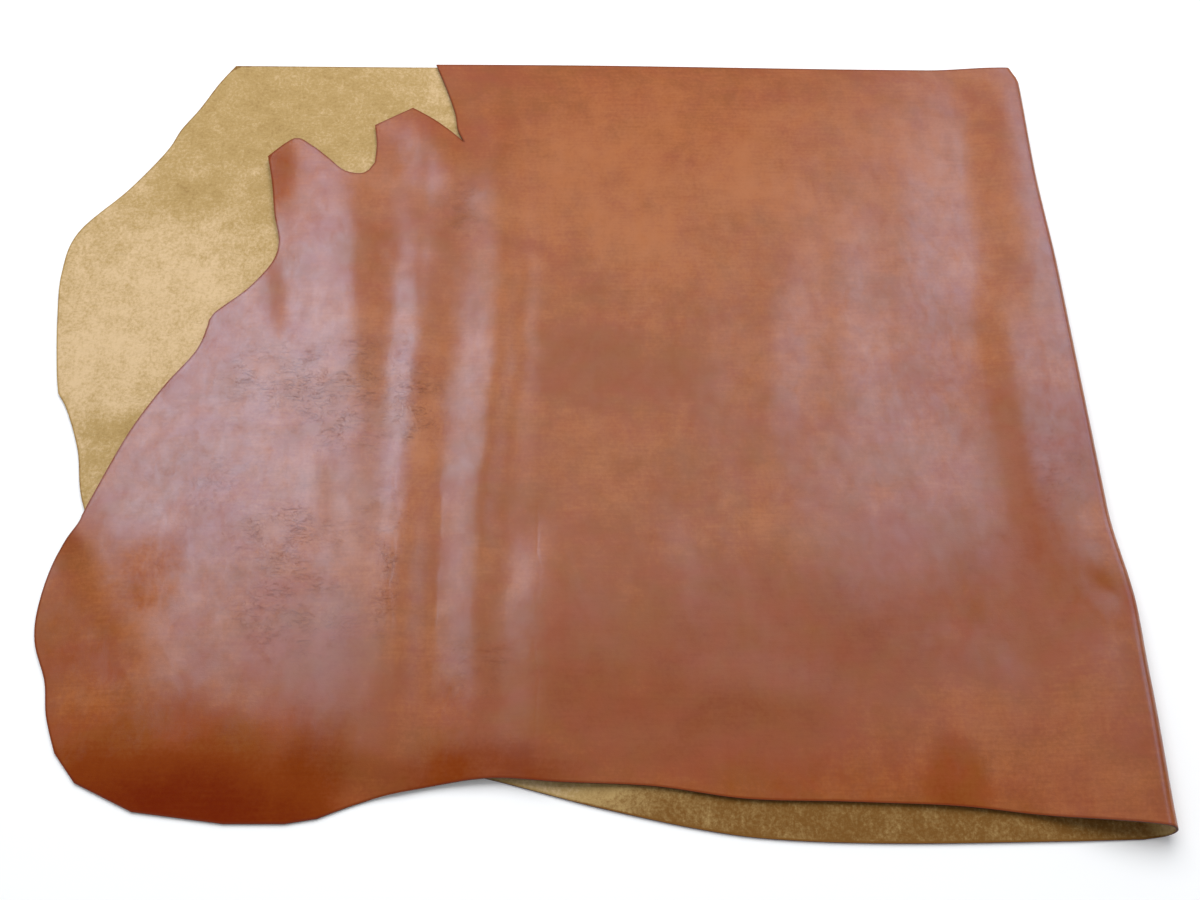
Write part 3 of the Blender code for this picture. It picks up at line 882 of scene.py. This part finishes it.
# The dark suede shows mostly as painted shade along the near edge.
DARK_SUEDE = rgb(0.175, 0.076, 0.014)
PAST_PALE = Span(0.05, 0.70)
TO_DARK = Span(0.60, 1.45)
SUEDE_DEPTH = 0.42
# The darkest that the patches of stain and painted shade make the suede.
DEEPEST_STAIN_AND_SHADE = 0.85
SUEDE_CLOUD = Noise(6.0, 4, 0.6, warp=0.5)
SUEDE_MOTTLE = Noise(30.0, 5, 0.66, warp=0.6)
FIBRES = Noise(260.0, 4, 0.75)
VEINS = Noise(70.0, 5, 0.7, (1.4, 0.8, 1), 1.0)
NAP = Noise(34.0, 4, 0.6, (1, 2.2, 1), 1.2)
SUEDE_RIM = Span(0.0005, 0.0024)
Suede = namedtuple("Suede", "cloud mottle fibre veins rim")
SUEDE_SHADE = Suede(cloud=0.25, mottle=0.75, fibre=0.95, veins=0.6, rim=0.5)
Pile = namedtuple("Pile", "fibre mottle nap")
SUEDE_RELIEF = Pile(fibre=0.0003, mottle=0.0006, nap=0.0014)
SUEDE_BUMP = 0.8
SUEDE_ROUGHNESS = 0.95
SUEDE_SHINE = 0.15


def flesh_finish():
    material, shader, flat = start_material("suede_flesh")
    dye_and_shading = mesh_value(flat, "dye_and_shading")
    cloud = flat.noise(SUEDE_CLOUD)
    mottle = flat.noise(SUEDE_MOTTLE)
    fibre = flat.fine_noise(FIBRES)
    veins = flat.fine_noise(VEINS)
    speckled = (fibre - MEAN) * SUEDE_SHADE.fibre + (veins - MEAN) * SUEDE_SHADE.veins
    # The patches, which paint shade along the near edge and light at the far end, capped at their darkest.
    stain_and_shading = dye_and_shading.math("MINIMUM", dye_and_shading, DEEPEST_STAIN_AND_SHADE)
    rim = 1.0 - mesh_value(flat, "rim").above(*SUEDE_RIM)
    clouded = SUEDE_DEPTH + (cloud - MEAN) * SUEDE_SHADE.cloud + (mottle - MEAN) * SUEDE_SHADE.mottle
    depth = clouded + speckled + stain_and_shading + rim * SUEDE_SHADE.rim
    colour = mixed(depth.above(*PAST_PALE), PALE_SUEDE, GOLD_SUEDE)
    feed(shader, "Base Color", mixed(depth.above(*TO_DARK), colour, DARK_SUEDE))
    shader.inputs["Roughness"].default_value = SUEDE_ROUGHNESS
    shader.inputs["Specular IOR Level"].default_value = SUEDE_SHINE
    pile = fibre * SUEDE_RELIEF.fibre + mottle * SUEDE_RELIEF.mottle
    feed(shader, "Normal", bumped(pile + flat.noise(NAP) * SUEDE_RELIEF.nap, SUEDE_BUMP))
    return material


# The cut edge: raw fibres, darker than the suede.
EDGE_DARK = rgb(0.055, 0.016, 0.010)
EDGE_TAN = rgb(0.150, 0.055, 0.028)
EDGE_FIBRES = Noise(600.0, 3, 0.6)
EDGE_ROUGHNESS = 0.85


def edge_finish():
    material, shader, flat = start_material("cut_edge")
    feed(shader, "Base Color", mixed(flat.fine_noise(EDGE_FIBRES), EDGE_DARK, EDGE_TAN))
    shader.inputs["Roughness"].default_value = EDGE_ROUGHNESS
    return material


for finish in (grain_finish(), flesh_finish(), edge_finish()):
    mesh.materials.append(finish)

SHARP_ANGLE = math.radians(50)
made = bpy.data.meshes.new_from_object(side.evaluated_get(bpy.context.evaluated_depsgraph_get()))
side.modifiers.clear()
side.data = made
made.set_sharp_from_angle(angle=SHARP_ANGLE)

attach(side, "root")
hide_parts("hide")


# ---------------------------------------------------------------- the floor
# A plain pale floor, wide enough for every view. The hide lies folded on it, and the floor is a hair
# lower, so that the two never share a plane.

FLOOR_HALF = 8.0
FLOOR_BELOW = 0.0002
FLOOR_CORNERS = ((-1, -1), (1, -1), (1, 1), (-1, 1))
FLOOR_PALE = rgb(0.93, 0.93, 0.93)
FLOOR_ROUGHNESS = 0.9
floor_mesh = bpy.data.meshes.new("floor")
corners = [(x * FLOOR_HALF, y * FLOOR_HALF, -FLOOR_BELOW) for x, y in FLOOR_CORNERS]
floor_mesh.from_pydata(corners, [], [(0, 1, 2, 3)])
floor = bpy.data.objects.new("floor", floor_mesh)
bpy.context.scene.collection.objects.link(floor)
pale = bpy.data.materials.new("pale_floor")
pale.use_nodes = True
pale.node_tree.nodes["Principled BSDF"].inputs["Base Color"].default_value = FLOOR_PALE
pale.node_tree.nodes["Principled BSDF"].inputs["Roughness"].default_value = FLOOR_ROUGHNESS
floor_mesh.materials.append(pale)


# ---------------------------------------------------------------- the light
# A broad soft sky overhead gives the daylight. The windows hang high up, over the hide and behind it,
# and show only in its gloss, in bluish panes that the bends break up.

Window = namedtuple("Window", "name x y z width length power colour")
SKY = Window("sky", 0.0, 1.8, 2.8, 4.0, 3.2, 132, (1.0, 1.0, 1.0))
SKY_AIM = (0.0, 0.3, 0.0)
WINDOWS = (
    Window("haze", -0.5, 1.55, 2.8, 5.0, 1.8, 27, (0.70, 1.00, 0.85)),
    Window("window", -1.14, 1.575, 1.9, 0.98, 1.4, 38, (0.42, 0.68, 1.00)),
    Window("low_window", -1.03, 0.55, 1.9, 0.76, 0.7, 6, (0.30, 0.60, 1.00)),
    Window("lowest_window", -1.155, 0.0, 1.9, 0.95, 0.6, 2, (0.30, 0.60, 1.00)),
    Window("far_window", 1.14, 1.45, 1.9, 0.72, 1.70, 18.5, (0.32, 0.62, 1.00)),
    Window("side_window", 2.6, 1.4, 1.9, 2.10, 1.8, 50, (0.32, 0.62, 1.00)),
)
WINDOW_AIM = 0.25  # each looks at the floor this share of its own distance to the side
WORLD_PALE = rgb(0.95, 0.97, 1.0)
WORLD_STRENGTH = 0.52


def soft_light(window, aim):
    light = bpy.data.lights.new(window.name, "AREA")
    light.shape = "RECTANGLE"
    light.size = window.width
    light.size_y = window.length
    light.energy = window.power
    light.color = window.colour
    lamp = bpy.data.objects.new(window.name, light)
    lamp.location = (window.x, window.y, window.z)
    lamp.rotation_euler = (Vector(aim) - lamp.location).to_track_quat("-Z", "Y").to_euler()
    bpy.context.scene.collection.objects.link(lamp)
    return lamp


soft_light(SKY, SKY_AIM).visible_glossy = False
for pane in WINDOWS:
    soft_light(pane, (WINDOW_AIM * pane.x, 0.0, 0.0)).visible_diffuse = False

world = bpy.data.worlds.new("studio")
world.use_nodes = True
world.node_tree.nodes["Background"].inputs["Color"].default_value = WORLD_PALE
world.node_tree.nodes["Background"].inputs["Strength"].default_value = WORLD_STRENGTH
bpy.context.scene.world = world
world.cycles_visibility.glossy = False
bpy.context.scene.view_settings.view_transform = "Standard"


# ---------------------------------------------------------------- the camera
# It looks down at the hide from over its belly side, with the backbone cut at the top. VIEW_AIM is the
# spot on the floor in the middle of its view.

VIEW_ELEVATION = math.radians(60.4)
VIEW_DISTANCE = 1.60
VIEW_AIM = Vector((0.0452, -0.0746, 0.0))
SENSOR_WIDTH = 36  # millimetres, as the focal length is
FOCAL_LENGTH = 42
camera_data = bpy.data.cameras.new("camera")
camera_data.sensor_width = SENSOR_WIDTH
camera_data.lens = FOCAL_LENGTH
camera = bpy.data.objects.new("camera", camera_data)
away = Vector((0, -math.cos(VIEW_ELEVATION), math.sin(VIEW_ELEVATION)))
camera.location = VIEW_AIM + VIEW_DISTANCE * away
camera.rotation_euler = (math.pi / 2 - VIEW_ELEVATION, 0, 0)
bpy.context.scene.collection.objects.link(camera)
bpy.context.scene.camera = camera
